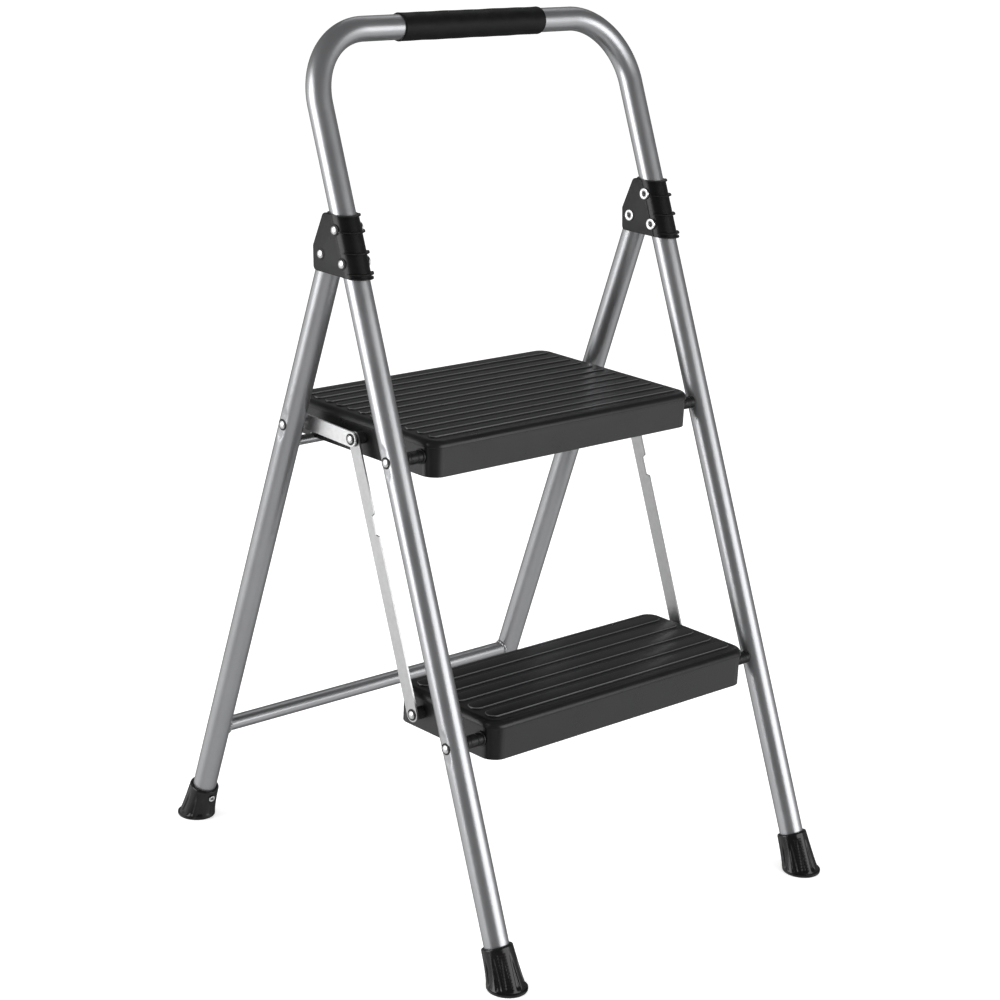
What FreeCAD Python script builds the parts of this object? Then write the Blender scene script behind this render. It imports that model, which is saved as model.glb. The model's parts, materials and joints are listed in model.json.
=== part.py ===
"""Folding two-step step stool with a tubular handle frame.

Frame: +X to the right seen from the front, the front faces -Y, +Z up.
Origin: on the floor, under the middle of the bounding box. Units: millimetres, degrees.

Side view: the front leg leans back, the rear leg leans forward, and both meet in the
hinge bracket. Points on the front leg are given by t, the distance up the leg's axis from
the floor, and n, the distance behind that axis. Points on the rear leg are given by s, the
distance up its axis from the floor, and n, the distance in front of it. Every side piece
is built on the left and mirrored.
"""
import FreeCAD, Part
import math
import os

Vec = FreeCAD.Vector
X_AXIS = Vec(1, 0, 0)
ORIGIN = Vec(0, 0, 0)

# ---------------------------------------------------------------- frame tubes
TUBE_R = 12.5
TUBE_WALL = 1.2
TUBE_START = 7.0            # tube end above the floor, inside the boot
FRONT_LEAN = math.radians(21.9)
REAR_LEAN = math.radians(17.05)
FRONT_HALF = 215.8          # front leg axis to the middle plane, at the floor
FRONT_TAPER = math.radians(0.23)    # the front legs close in towards the handle
REAR_HALF = 212.4           # rear leg axis to the middle plane
HANDLE_T = 933.0            # handle axis, up the front leg
HANDLE_BEND_R = 72.0
REAR_LEG_PAST_HINGE = 8.0
SEAT_DEPTH = 0.9            # flat seats pressed into the tubes under rivet heads
SEAT_R = 7.5
SEAT_WALL = 1.4             # wall kept under a pressed seat
LEG_SPAN = 800.0            # long enough to cut or wrap any part of a leg

CROSSBAR_R = 8.0
CROSSBAR_S = 120.0
CROSSBAR_WELD = 2.4
REST_BAR_R = 5.0
REST_BAR_UNDER_HEM = 2.0    # bar axis under the top step's skirt edge
REST_BAR_WELD = 2.0
WELD_REACH = 4.9            # how far a weld runs along its bar, at most
SADDLE_GAP = 0.4            # between the rest bar and the notch that drops over it

# ---------------------------------------------------------------- pivots
HINGE_T = 724.0             # rear leg pivot, beside the front leg
HINGE_N = 28.0
TOP_PIVOT_T = 514.4         # top step pivot on the front leg
LOW_PIVOT_T = 236.2         # lower step pivot on the front leg
STAY_PIVOT_Z = 478.0        # pivot of the stay on the rear leg
CRANK = 87.7                # step pivot to the pin that carries link and stay
CRANK_DROP = 1.5            # that pin lies this far under the step pivot: over centre
STEP_FOLD = math.radians(62.0)

# ---------------------------------------------------------------- steps
STEP_HALF = 182.5           # outer half width of both treads
PIVOT_SETBACK = 19.2        # step front face to its pivot
PIVOT_ABOVE_HEM = 19.1      # step pivot above the skirt's lower edge
TOP_STEP = dict(depth=229.0, height=38.4, ribs=12, rib_share=0.56)
LOW_STEP = dict(depth=144.0, height=40.8, ribs=5, rib_share=0.66)
CORNER_R = 17.0
EDGE_R = 7.0
SHEET = 1.5
TREAD_RIM = 7.6             # how far the tread's rim turns down over the tray
TREAD_WALL = 1.3
TREAD_TOP = 2.2
RIB_MARGIN = 2.5            # flat land between the rounded edge and the first rib
RIB_H = 1.4
RIB_ROOT = 0.6              # how far a rib is sunk into the tread
RIB_CROWN_R = 0.5

# ---------------------------------------------------------------- rivets, link and stay
RIVET_R = 3.2
HEAD_R = 5.9
HEAD_H = 2.2
TAIL_R = 5.6
TAIL_H = 1.6
TAIL_EDGE_R = 0.6
TAIL_BORE_R = 2.3           # the tails are tubular
TAIL_BORE = 5.0
RUNNING_FIT = 0.08
SNUG_FIT = 0.05
SIDE_PLAY = 0.2             # play along X beside a washer or spacer
WASHER = 1.0
WASHER_R = 6.0
WASHER_SEAT_R = 6.3         # flat spot-faced for it where the pan's corner begins
WASHER_SEAT_DEEP = 3.0
SLEEVE_R = 6.5
SLEEVE_FLANGE = 1.6
SLEEVE_FLANGE_R = 7.6
STAY_SPACER_R = 5.2
LINK_X = 191.0              # inner face of the link
STAY_X = 194.5              # inner face of the stay
STRIP = 2.0                 # thickness of link and stay
LINK_W = 15.0
STAY_W = 15.5
NOTCH_FROM_PIN = 88.0
NOTCH_LEN = 24.0
NOTCH_SLOPE = 2.5           # run of each sloping end of the notch
NOTCH_DEPTH = 4.5
STUB_GAP = 0.3              # between the rear leg and the stub on the stay

# ---------------------------------------------------------------- hinge bracket
BRACKET_OUT = 227.6         # outer face
BRACKET_IN = 197.7          # inner face
BRACKET_SLEEVE_R = 14.6     # round the front leg
BRACKET_TOP_Z = 702.0
BRACKET_LOW_Z = 644.0
BRACKET_ROOF_Z = 681.0      # top of the slot that the rear leg turns in
BRACKET_BULGE_Z = 668.0     # height of the rearmost corner
BRACKET_BACK_TOP = 295.0    # rear edge behind the front foot: at the top,
BRACKET_BACK_BULGE = 308.5  # at the bulge,
BRACKET_BACK_LOW = 306.5    # and at the bottom
BRACKET_MARGIN = 5.0        # overshoot of the bracket's cutting tools
SLOT_GAP = 0.35
SLOT_FRONT_N = 2.0
CHEEK_FRONT_N = 0.0         # the cheeks run into the sleeve here, in line with the leg
CHEEK_CORNER_R = 5.0
CHEEK_RIM_R = 1.0
FIX_RIVET_T = (741.0, 708.0)
# fins round the front of the bracket: height of the underside, thickness, radius
FINS = ((644.0, 1.2, 16.4), (648.2, 1.2, 17.4), (667.2, 1.2, 17.4), (686.2, 1.2, 17.4),
        (700.8, 1.2, 16.4))
FIN_BACK_N = -6.5           # the fins end here, ahead of the front leg's axis

# ---------------------------------------------------------------- grip and boots
GRIP_R = 14.2
GRIP_HALF = 95.3
GRIP_EDGE_R = 1.6
BOOT_TOP = 41.5             # along the leg
BOOT_COLLAR_R = 15.6
COLLAR_EDGE_R = 0.8
BOOT_WAIST_R = 18.6         # where the flared sleeve meets the sole
BOOT_WAIST_Z = 5.0
SOLE_R = 20.3
SOLE_EDGE_R = 1.5
SOLE_SHIFT = 2.0            # sole centre outside the leg axis
FLUTES = 14
FLUTE_R = 1.5
FLUTE_PROUD = 0.5           # groove axis outside the boot's surface
FLUTE_END = 7.0             # plain band above and below the grooves
BOOT_RIVET_AT = 33.0
BOOT_RIVET_R = 2.0
BOOT_RIVET_HEAD_R = 3.6
BOOT_RIVET_HEAD = 1.2
BOOT_RIVET_BORE_R = 1.2
BOOT_RIVET_PROUD = 1.2      # head outside the boot's collar radius


# ---------------------------------------------------------------- side-view geometry
def turn(v, angle):
    """Turn a side-view pair (y, z) about the X axis."""
    c, s = math.cos(angle), math.sin(angle)
    return (v[0] * c - v[1] * s, v[0] * s + v[1] * c)


def minus(a, b):
    return (a[0] - b[0], a[1] - b[1])


def plus(a, b):
    return (a[0] + b[0], a[1] + b[1])


def heading(a, b):
    return math.atan2(b[1] - a[1], b[0] - a[0])


hinge_run = HINGE_T * math.sin(FRONT_LEAN) + HINGE_N * math.cos(FRONT_LEAN)
hinge_z = HINGE_T * math.cos(FRONT_LEAN) - HINGE_N * math.sin(FRONT_LEAN)
foot_spread = hinge_run + hinge_z * math.tan(REAR_LEAN)
FRONT_Y = -foot_spread / 2
REAR_Y = foot_spread / 2


def leg(t, n=0.0):
    """Side-view (y, z) of a point on, or behind, the front leg's axis."""
    return (FRONT_Y + t * math.sin(FRONT_LEAN) + n * math.cos(FRONT_LEAN),
            t * math.cos(FRONT_LEAN) - n * math.sin(FRONT_LEAN))


def rear(s, n=0.0):
    """Side-view (y, z) of a point on, or in front of, the rear leg's axis."""
    return (REAR_Y - s * math.sin(REAR_LEAN) - n * math.cos(REAR_LEAN),
            s * math.cos(REAR_LEAN) - n * math.sin(REAR_LEAN))


def rear_at_height(z):
    return rear(z / math.cos(REAR_LEAN))


def front_x(t):
    """x of the left front leg's axis."""
    return -FRONT_HALF + t * math.tan(FRONT_TAPER)


HINGE = leg(HINGE_T, HINGE_N)
TOP_PIVOT = leg(TOP_PIVOT_T)
LOW_PIVOT = leg(LOW_PIVOT_T)
crank_run = math.sqrt(CRANK ** 2 - CRANK_DROP ** 2)
TOP_PIN = plus(TOP_PIVOT, (crank_run, -CRANK_DROP))
LOW_PIN = plus(LOW_PIVOT, (crank_run, -CRANK_DROP))
STAY_PIVOT = rear_at_height(STAY_PIVOT_Z)
REST_BAR = rear_at_height(TOP_PIVOT[1] - PIVOT_ABOVE_HEM - REST_BAR_UNDER_HEM)
CROSSBAR = rear(CROSSBAR_S)
SKIRT_OUT = -(STEP_HALF - TREAD_WALL - SNUG_FIT)     # left outer face of a tray
SKIRT_IN = SKIRT_OUT + SHEET
LINK_OUT = -LINK_X - STRIP
STAY_OUT = -STAY_X - STRIP


def folded_angles():
    """Turns of the rear frame and of the stay when the steps are folded up."""
    pin = plus(TOP_PIVOT, turn(minus(TOP_PIN, TOP_PIVOT), STEP_FOLD))
    stay_len = math.dist(TOP_PIN, STAY_PIVOT)
    rear_len = math.dist(HINGE, STAY_PIVOT)
    gap = math.dist(HINGE, pin)
    along = (rear_len ** 2 - stay_len ** 2 + gap ** 2) / (2 * gap)
    aside = math.sqrt(rear_len ** 2 - along ** 2)
    uy, uz = (pin[0] - HINGE[0]) / gap, (pin[1] - HINGE[1]) / gap
    end = (HINGE[0] + along * uy - aside * uz, HINGE[1] + along * uz + aside * uy)
    rear_fold = heading(HINGE, STAY_PIVOT) - heading(HINGE, end)
    stay_turn = heading(pin, end) - heading(TOP_PIN, STAY_PIVOT)
    return rear_fold, stay_turn


# ---------------------------------------------------------------- shape helpers
def at(x, yz):
    return Vec(x, yz[0], yz[1])


def on_front(t, n=0.0):
    """A point on, or behind, the left front leg's axis."""
    return at(front_x(t), leg(t, n))


def on_rear(s, n=0.0):
    """A point on, or in front of, the left rear leg's axis."""
    return at(-REAR_HALF, rear(s, n))


def rod(a, b, radius):
    """A round bar from point a to point b."""
    return Part.makeCylinder(radius, (b - a).Length, a, b - a)


def cross_rod(x0, x1, yz, radius):
    """A round bar along X."""
    return rod(at(x0, yz), at(x1, yz), radius)


def side_hole(yz, radius=RIVET_R + RUNNING_FIT):
    """A drill through everything on the left side."""
    return cross_rod(-BRACKET_OUT - 20, SKIRT_IN + 5, yz, radius)


def ring(yz, x0, x1, outer):
    """A washer or spacer on a rivet."""
    return cross_rod(x0, x1, yz, outer).cut(side_hole(yz))


def leg_rod(place, radius):
    """A bar on a left leg's axis, longer than any part that uses it."""
    return rod(place(0), place(LEG_SPAN), radius)


def slab(outline, x0, x1):
    """A plate with a side-view outline of straight edges, from x0 to x1."""
    points = [at(x0, p) for p in outline]
    face = Part.Face(Part.makePolygon(points + points[:1]))
    return face.extrude(Vec(x1 - x0, 0, 0))


def edges_along(shape, axis):
    return [e for e in shape.Edges if abs(e.tangentAt(e.FirstParameter).dot(axis)) > 0.9]


def largest(shape):
    return max(shape.Solids, key=lambda s: s.Volume)


def mirrored(shape):
    return shape.mirror(ORIGIN, X_AXIS)


def with_mirrors(tools):
    return tools + [mirrored(t) for t in tools]


def both_sides(left):
    """The left solids and their mirror images, as one group."""
    return Part.makeCompound(with_mirrors(left))


def domed_head(yz, x_base, rise, radius):
    """A domed rivet head that stands out to the left of the plane x_base."""
    ball_r = (radius ** 2 + rise ** 2) / (2 * rise)
    ball = Part.makeSphere(ball_r, at(x_base - rise + ball_r, yz))
    return ball.common(cross_rod(x_base - 2 * rise, x_base, yz, 2 * radius))


def rivet(yz, x_out, x_in):
    """A left-side rivet: domed head on x_out, flared tubular tail on x_in, shank between."""
    tip = x_in + TAIL_H
    tail = cross_rod(x_in, tip, yz, TAIL_R)
    tail = tail.makeFillet(TAIL_EDGE_R, [e for e in tail.Edges if
                                         abs(e.CenterOfMass.x - tip) < 0.01])
    shank = cross_rod(x_out, x_in + TAIL_H / 2, yz, RIVET_R)
    bore = cross_rod(tip - TAIL_BORE, tip + 1, yz, TAIL_BORE_R)
    return domed_head(yz, x_out, HEAD_H, HEAD_R).fuse([shank, tail]).cut(bore).removeSplitter()


def strip(a, b, width, x0):
    """A flat bar with round ends and a hole at a and at b; x0 is its outer face."""
    length = math.dist(a, b)
    side = (-(b[1] - a[1]) / length * width / 2, (b[0] - a[0]) / length * width / 2)
    bar = slab([plus(a, side), plus(b, side), minus(b, side), minus(a, side)], x0, x0 + STRIP)
    ends = [cross_rod(x0, x0 + STRIP, p, width / 2) for p in (a, b)]
    return bar.fuse(ends).removeSplitter().cut([side_hole(p) for p in (a, b)])


def save(name, shape):
    if shape.ShapeType == "Compound" and len(shape.Solids) == 1:
        shape = shape.Solids[0]
    if not shape.isValid() or not shape.Solids:
        raise ValueError("%s is not a valid solid" % name)
    shape.exportStep("parts/%s.step" % name)
    print("%-26s solids %2d volume %10.1f" % (name, len(shape.Solids), shape.Volume))


# ---------------------------------------------------------------- tubes
def frame_path():
    """The front frame's centreline: up the left leg, over the handle, down the right."""
    start, corner = on_front(TUBE_START), on_front(HANDLE_T)
    down = (start - corner).normalize()
    half_bend = (math.pi - down.getAngle(X_AXIS)) / 2
    reach = HANDLE_BEND_R * math.tan(half_bend)
    left_top, bar_left = corner + down * reach, corner + X_AXIS * reach
    inset = HANDLE_BEND_R / math.cos(half_bend) - HANDLE_BEND_R
    left_mid = corner + (down + X_AXIS).normalize() * inset

    def flip(p):
        return Vec(-p.x, p.y, p.z)

    edges = [Part.LineSegment(start, left_top),
             Part.Arc(left_top, left_mid, bar_left),
             Part.LineSegment(bar_left, flip(bar_left)),
             Part.Arc(flip(bar_left), flip(left_mid), flip(left_top)),
             Part.LineSegment(flip(left_top), flip(start))]
    return Part.Wire([e.toShape() for e in edges])


def swept(path, radius):
    first = path.Edges[0]
    start = first.Vertexes[0].Point
    circle = Part.makeCircle(radius, start, first.tangentAt(first.FirstParameter))
    return path.makePipeShell([Part.Wire([circle])], True, True)


def seat_x(axis_x):
    """x of a flat seat on the outside of a left leg."""
    return axis_x - TUBE_R + SEAT_DEPTH


def pressed_seats(seats):
    """Left-side tools: lands that keep the wall under each seat, and the flats themselves."""
    lands = [cross_rod(x - 5, x + SEAT_WALL, yz, SEAT_R + 1.0) for x, yz in seats]
    flats = [cross_rod(x - 5, x, yz, SEAT_R) for x, yz in seats]
    return lands, flats


def front_frame():
    """Both front legs and the handle, bent from one tube."""
    path = frame_path()
    lands, flats = pressed_seats([(seat_x(front_x(t)), leg(t))
                                  for t in (TOP_PIVOT_T, LOW_PIVOT_T)])
    bore = swept(path, TUBE_R - TUBE_WALL).cut(with_mirrors(lands))
    tube = swept(path, TUBE_R).cut(bore)
    pivots = [leg(t) for t in FIX_RIVET_T] + [TOP_PIVOT, LOW_PIVOT]
    holes = [side_hole(p) for p in pivots] + [boot_rivet_hole(on_front)]
    return tube.cut(with_mirrors(flats + holes))


def rear_leg():
    """The left rear leg."""
    top_s = math.dist(HINGE, rear(0)) + REAR_LEG_PAST_HINGE
    low, high = on_rear(TUBE_START), on_rear(top_s)
    lands, flats = pressed_seats([(seat_x(-REAR_HALF), STAY_PIVOT)])
    beyond = (high - low).normalize()
    bore = rod(low - beyond, high + beyond, TUBE_R - TUBE_WALL).cut(lands)
    holes = [side_hole(HINGE), side_hole(STAY_PIVOT), boot_rivet_hole(on_rear)]
    return rod(low, high, TUBE_R).cut(bore).cut(flats + holes)


def rear_cross_member(yz, radius):
    """A bar between the rear legs, coped to fit against them."""
    bar = cross_rod(-REAR_HALF, REAR_HALF, yz, radius)
    return bar.cut(with_mirrors([leg_rod(on_rear, TUBE_R)]))


def crossbar():
    bore = cross_rod(-REAR_HALF, REAR_HALF, CROSSBAR, CROSSBAR_R - TUBE_WALL)
    return rear_cross_member(CROSSBAR, CROSSBAR_R).cut(bore)


def weld_bead(yz, radius, size):
    """The left fillet weld round the end of a cross member."""
    wall = math.sqrt(TUBE_R ** 2 - radius ** 2)
    start = at(-REAR_HALF, yz)
    cone = Part.makeCone(radius + size, radius + size / 2, wall + WELD_REACH, start, X_AXIS)
    core = Part.makeCylinder(radius, 2 * TUBE_R, start, X_AXIS)
    return largest(cone.cut([leg_rod(on_rear, TUBE_R), core]))


def welds():
    return both_sides([weld_bead(CROSSBAR, CROSSBAR_R, CROSSBAR_WELD),
                       weld_bead(REST_BAR, REST_BAR_R, REST_BAR_WELD)])


# ---------------------------------------------------------------- hinge bracket
def beside_leg(z, n):
    """Side-view point at height z, at the distance n behind the front leg's axis."""
    return (FRONT_Y + z * math.tan(FRONT_LEAN) + n / math.cos(FRONT_LEAN), z)


def level_layer(z0, z1):
    """All the space round the left front leg between two heights."""
    width = 5 * TUBE_R
    y0 = beside_leg(z0, 0)[0] - width
    return Part.makeBox(width, 3 * width, z1 - z0, Vec(-FRONT_HALF - width / 2, y0, z0))


def bracket_cheeks():
    """The block behind the front leg, level at top and bottom as the stool stands."""
    top, low = BRACKET_TOP_Z, BRACKET_LOW_Z
    outline = [beside_leg(low, CHEEK_FRONT_N), beside_leg(top, CHEEK_FRONT_N),
               (FRONT_Y + BRACKET_BACK_TOP, top),
               (FRONT_Y + BRACKET_BACK_BULGE, BRACKET_BULGE_Z),
               (FRONT_Y + BRACKET_BACK_LOW, low)]
    body = slab(outline, -BRACKET_OUT, -BRACKET_IN)
    rear_half = beside_leg(top, 0)[0] + TUBE_R
    corners = [e for e in edges_along(body, X_AXIS) if e.CenterOfMass.y > rear_half]
    body = body.makeFillet(CHEEK_CORNER_R, corners)
    middle = -(BRACKET_OUT + BRACKET_IN) / 2
    reach = (BRACKET_OUT - BRACKET_IN) / 2
    rims = [e for e in body.Edges if abs(abs(e.CenterOfMass.x - middle) - reach) < 0.01]
    return body.makeFillet(CHEEK_RIM_R, rims)


def bracket_fins():
    """Level fins that wrap the front of the bracket."""
    low, high = HINGE_T - 100, HINGE_T + 100
    ahead = slab([leg(low, -60), leg(high, -60), leg(high, FIN_BACK_N), leg(low, FIN_BACK_N)],
                 -FRONT_HALF - 40, -FRONT_HALF + 40)
    fins = []
    for z, thick, radius in FINS:
        wrap = leg_rod(on_front, radius).common(level_layer(z, z + thick))
        fins.append(wrap.common(ahead))
    return fins


def bracket():
    """Left hinge bracket: a moulding round the front leg with two cheeks for the rear leg."""
    sleeve = leg_rod(on_front, BRACKET_SLEEVE_R)
    sleeve = sleeve.common(level_layer(BRACKET_LOW_Z, BRACKET_TOP_Z))
    body = bracket_cheeks().fuse([sleeve] + bracket_fins())
    low, roof = BRACKET_LOW_Z - BRACKET_MARGIN, BRACKET_ROOF_Z
    behind = FRONT_Y + BRACKET_BACK_BULGE + BRACKET_MARGIN
    slot = slab([beside_leg(low, SLOT_FRONT_N), beside_leg(roof, SLOT_FRONT_N),
                 (behind, roof), (behind, low)],
                -REAR_HALF - TUBE_R - SLOT_GAP, -REAR_HALF + TUBE_R + SLOT_GAP)
    body = body.cut(slot).cut(leg_rod(on_front, TUBE_R + SNUG_FIT))
    holes = [side_hole(leg(t)) for t in FIX_RIVET_T] + [side_hole(HINGE)]
    return largest(body.cut(holes).removeSplitter())


def bracket_rivets():
    return both_sides([rivet(leg(t), -BRACKET_OUT, -BRACKET_IN) for t in FIX_RIVET_T])


def hinge_pins():
    return both_sides([rivet(HINGE, -BRACKET_OUT, -BRACKET_IN)])


# ---------------------------------------------------------------- boots and grip
def boot_rivet_hole(place):
    """Left hole for the rivet that holds a boot, on the inside of the A."""
    return rod(place(BOOT_RIVET_AT), place(BOOT_RIVET_AT, 3 * TUBE_R),
               BOOT_RIVET_R + RUNNING_FIT)


def sole_centre(place, z):
    """Centre of a left sole at height z; soles stand outside their leg's axis."""
    foot = place(0)
    return Vec(foot.x, foot.y + math.copysign(SOLE_SHIFT, foot.y), z)


def boot(place):
    """A left boot: a flared, fluted sleeve round the leg on a level round sole."""
    collar = place(BOOT_TOP)
    up = (collar - place(0)).normalize()
    rings = [Part.makeCircle(BOOT_WAIST_R, sole_centre(place, BOOT_WAIST_Z), Vec(0, 0, 1)),
             Part.makeCircle(BOOT_COLLAR_R, collar, up)]
    sleeve = Part.makeLoft([Part.Wire([c]) for c in rings], True, True)
    sleeve = sleeve.makeFillet(COLLAR_EDGE_R, [e for e in sleeve.Edges if
                                               (e.CenterOfMass - collar).Length < 0.5])
    sole = Part.makeCylinder(SOLE_R, BOOT_WAIST_Z, sole_centre(place, 0.0))
    rims = [e for e in sole.Edges if len(e.Vertexes) == 1]
    body = sleeve.fuse(sole.makeFillet(SOLE_EDGE_R, rims)).cut(flutes(place))
    bore = rod(place(TUBE_START - 0.5), place(2 * BOOT_TOP), TUBE_R + SNUG_FIT)
    return largest(body.cut(bore).cut(boot_rivet_hole(place)))


def flutes(place):
    """Grooves down the boot, spaced round it and following its flare."""
    waist, collar = sole_centre(place, BOOT_WAIST_Z), place(BOOT_TOP)
    across = X_AXIS.cross((collar - place(0)).normalize())
    level = Vec(0, math.copysign(1, across.y), 0)
    tools = []
    for i in range(FLUTES):
        angle = 2 * math.pi * (i + 0.5) / FLUTES
        c, s = math.cos(angle), math.sin(angle)
        low = waist + (X_AXIS * c + level * s) * (BOOT_WAIST_R + FLUTE_PROUD)
        high = collar + (X_AXIS * c + across * s) * (BOOT_COLLAR_R + FLUTE_PROUD)
        tools.append(rod(low, high - (high - low).normalize() * FLUTE_END, FLUTE_R))
    return tools


def boot_rivets(place):
    """Short tubular rivets through boot and tube, on the inside of the A."""
    inner = place(BOOT_RIVET_AT, TUBE_R - 2 * TUBE_WALL)
    outer = place(BOOT_RIVET_AT, BOOT_COLLAR_R + BOOT_RIVET_PROUD)
    out = (outer - inner).normalize()
    head = rod(outer - out * BOOT_RIVET_HEAD / 2, outer + out * BOOT_RIVET_HEAD / 2,
               BOOT_RIVET_HEAD_R)
    bore = rod(outer, outer + out * 2 * BOOT_RIVET_HEAD, BOOT_RIVET_BORE_R)
    return both_sides([rod(inner, outer, BOOT_RIVET_R).fuse(head).cut(bore).removeSplitter()])


def grip():
    """The foam sleeve on the handle."""
    sleeve = cross_rod(-GRIP_HALF, GRIP_HALF, leg(HANDLE_T), GRIP_R)
    sleeve = sleeve.makeFillet(GRIP_EDGE_R, [e for e in sleeve.Edges if len(e.Vertexes) == 1])
    return sleeve.cut(cross_rod(-2 * GRIP_HALF, 2 * GRIP_HALF, leg(HANDLE_T), TUBE_R + SNUG_FIT))


# ---------------------------------------------------------------- steps
def block(half, y0, y1, z0, z1, corner, edge):
    """A box with round upright corners and a rounded top edge."""
    box = Part.makeBox(2 * half, y1 - y0, z1 - z0, Vec(-half, y0, z0))
    box = box.makeFillet(corner, edges_along(box, Vec(0, 0, 1)))
    top = [e for e in box.Edges if abs(e.BoundBox.ZMin - z1) < 0.001]
    return box.makeFillet(edge, top)


def step_box(pivot, size):
    """Step extents: front and rear y, skirt hem z, and the top of the ribs."""
    y0 = pivot[0] - PIVOT_SETBACK
    z0 = pivot[1] - PIVOT_ABOVE_HEM
    return y0, y0 + size["depth"], z0, z0 + size["height"]


def tray(pivot, pin, size):
    """The pressed sheet-metal pan of a step, open underneath."""
    y0, y1, z0, z_top = step_box(pivot, size)
    gap = TREAD_WALL + SNUG_FIT
    wall = gap + SHEET
    z1 = z_top - RIB_H - TREAD_TOP
    outer = block(STEP_HALF - gap, y0 + gap, y1 - gap, z0, z1, CORNER_R - gap, EDGE_R - gap)
    inner = block(STEP_HALF - wall, y0 + wall, y1 - wall, z0 - 1, z1 - SHEET,
                  CORNER_R - wall, EDGE_R - wall)
    x0 = SKIRT_IN + SIDE_PLAY / 2
    seat = cross_rod(x0, x0 + WASHER_SEAT_DEEP, pivot, WASHER_SEAT_R)
    return outer.cut(inner).cut(with_mirrors([side_hole(pivot), side_hole(pin), seat]))


def top_tray():
    """The top step's pan, with notches that drop over the rest bar."""
    saddle = cross_rod(-STEP_HALF, STEP_HALF, REST_BAR, REST_BAR_R + SADDLE_GAP)
    return tray(TOP_PIVOT, TOP_PIN, TOP_STEP).cut(saddle)


def tread(pivot, size):
    """The ribbed cover that caps the tray."""
    y0, y1, z0, z_top = step_box(pivot, size)
    z1 = z_top - RIB_H
    gap = TREAD_WALL
    outer = block(STEP_HALF, y0, y1, z0, z1, CORNER_R, EDGE_R)
    inner = block(STEP_HALF - gap, y0 + gap, y1 - gap, z0 - 1, z1 - TREAD_TOP,
                  CORNER_R - gap, EDGE_R - gap)
    rim_z = z1 - TREAD_RIM
    below = Part.makeBox(4 * STEP_HALF, 2 * size["depth"], rim_z - z0 + 10,
                         Vec(-2 * STEP_HALF, y0 - size["depth"] / 2, z0 - 10))
    return outer.cut(inner).cut(below).fuse(ribs(y0, y1, z1, size))


def ribs(y0, y1, z1, size):
    """Raised bars along X with round ends."""
    margin = EDGE_R + RIB_MARGIN
    pitch = (y1 - y0 - 2 * margin) / size["ribs"]
    width = pitch * size["rib_share"]
    reach = STEP_HALF - margin - RIB_H
    bars = []
    for i in range(size["ribs"]):
        y = y0 + margin + (i + 0.5) * pitch
        bar = Part.makeBox(2 * reach, width, RIB_H + RIB_ROOT,
                           Vec(-reach, y - width / 2, z1 - RIB_ROOT))
        bar = bar.makeFillet(width / 2 - 0.05, edges_along(bar, Vec(0, 0, 1)))
        crown = [e for e in bar.Edges if abs(e.BoundBox.ZMin - z1 - RIB_H) < 0.001]
        bars.append(bar.makeFillet(RIB_CROWN_R, crown))
    return bars


def pivot_sleeves(t):
    """Flanged black spacers between front leg and step."""
    end = SKIRT_OUT - SIDE_PLAY
    left = ring(leg(t), front_x(t), end, SLEEVE_R)
    left = left.fuse(ring(leg(t), end - SLEEVE_FLANGE, end, SLEEVE_FLANGE_R)).removeSplitter()
    return both_sides([left.cut(leg_rod(on_front, TUBE_R + SNUG_FIT))])


def pivot_washers():
    """Washers between a step's skirt and the rivet tails inside it."""
    x0 = SKIRT_IN + SIDE_PLAY
    return both_sides([ring(p, x0, x0 + WASHER, WASHER_R) for p in (TOP_PIVOT, LOW_PIVOT)])


def step_pivot_rivets(t):
    x_in = SKIRT_IN + 1.5 * SIDE_PLAY + WASHER
    return both_sides([rivet(leg(t), seat_x(front_x(t)), x_in)])


# ---------------------------------------------------------------- links and stays
def link():
    """Left link: joins both steps so that they fold together."""
    bar = strip(TOP_PIN, LOW_PIN, LINK_W, LINK_OUT)
    length = math.dist(TOP_PIN, LOW_PIN)
    down = ((LOW_PIN[0] - TOP_PIN[0]) / length, (LOW_PIN[1] - TOP_PIN[1]) / length)
    ahead = (down[1], -down[0])

    def on_link(along, out):
        return (TOP_PIN[0] + along * down[0] + out * ahead[0],
                TOP_PIN[1] + along * down[1] + out * ahead[1])

    long, short = NOTCH_LEN / 2, NOTCH_LEN / 2 - NOTCH_SLOPE
    mouth, floor = LINK_W / 2 + 1, LINK_W / 2 - NOTCH_DEPTH
    notch = [on_link(NOTCH_FROM_PIN - long, mouth), on_link(NOTCH_FROM_PIN + long, mouth),
             on_link(NOTCH_FROM_PIN + short, floor), on_link(NOTCH_FROM_PIN - short, floor)]
    return bar.cut(slab(notch, LINK_OUT - 1, -LINK_X + 1))


def stay():
    """Left stay: locks the rear leg to the top step."""
    return strip(TOP_PIN, STAY_PIVOT, STAY_W, STAY_OUT)


def upper_link_pins():
    """Rivets on the top step that carry link and stay."""
    return both_sides([rivet(TOP_PIN, STAY_OUT - SIDE_PLAY, SKIRT_IN + SNUG_FIT)])


def lower_link_pins():
    return both_sides([rivet(LOW_PIN, LINK_OUT - SIDE_PLAY, SKIRT_IN + SNUG_FIT)])


def upper_link_spacers():
    """Plastic spacers between skirt and link, and between link and stay."""
    return both_sides([ring(TOP_PIN, -LINK_X + SIDE_PLAY, SKIRT_OUT, SLEEVE_R),
                       ring(TOP_PIN, -STAY_X + SIDE_PLAY, LINK_OUT - SIDE_PLAY, STAY_SPACER_R)])


def lower_link_spacers():
    return both_sides([ring(LOW_PIN, -LINK_X + SIDE_PLAY, SKIRT_OUT, SLEEVE_R)])


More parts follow.
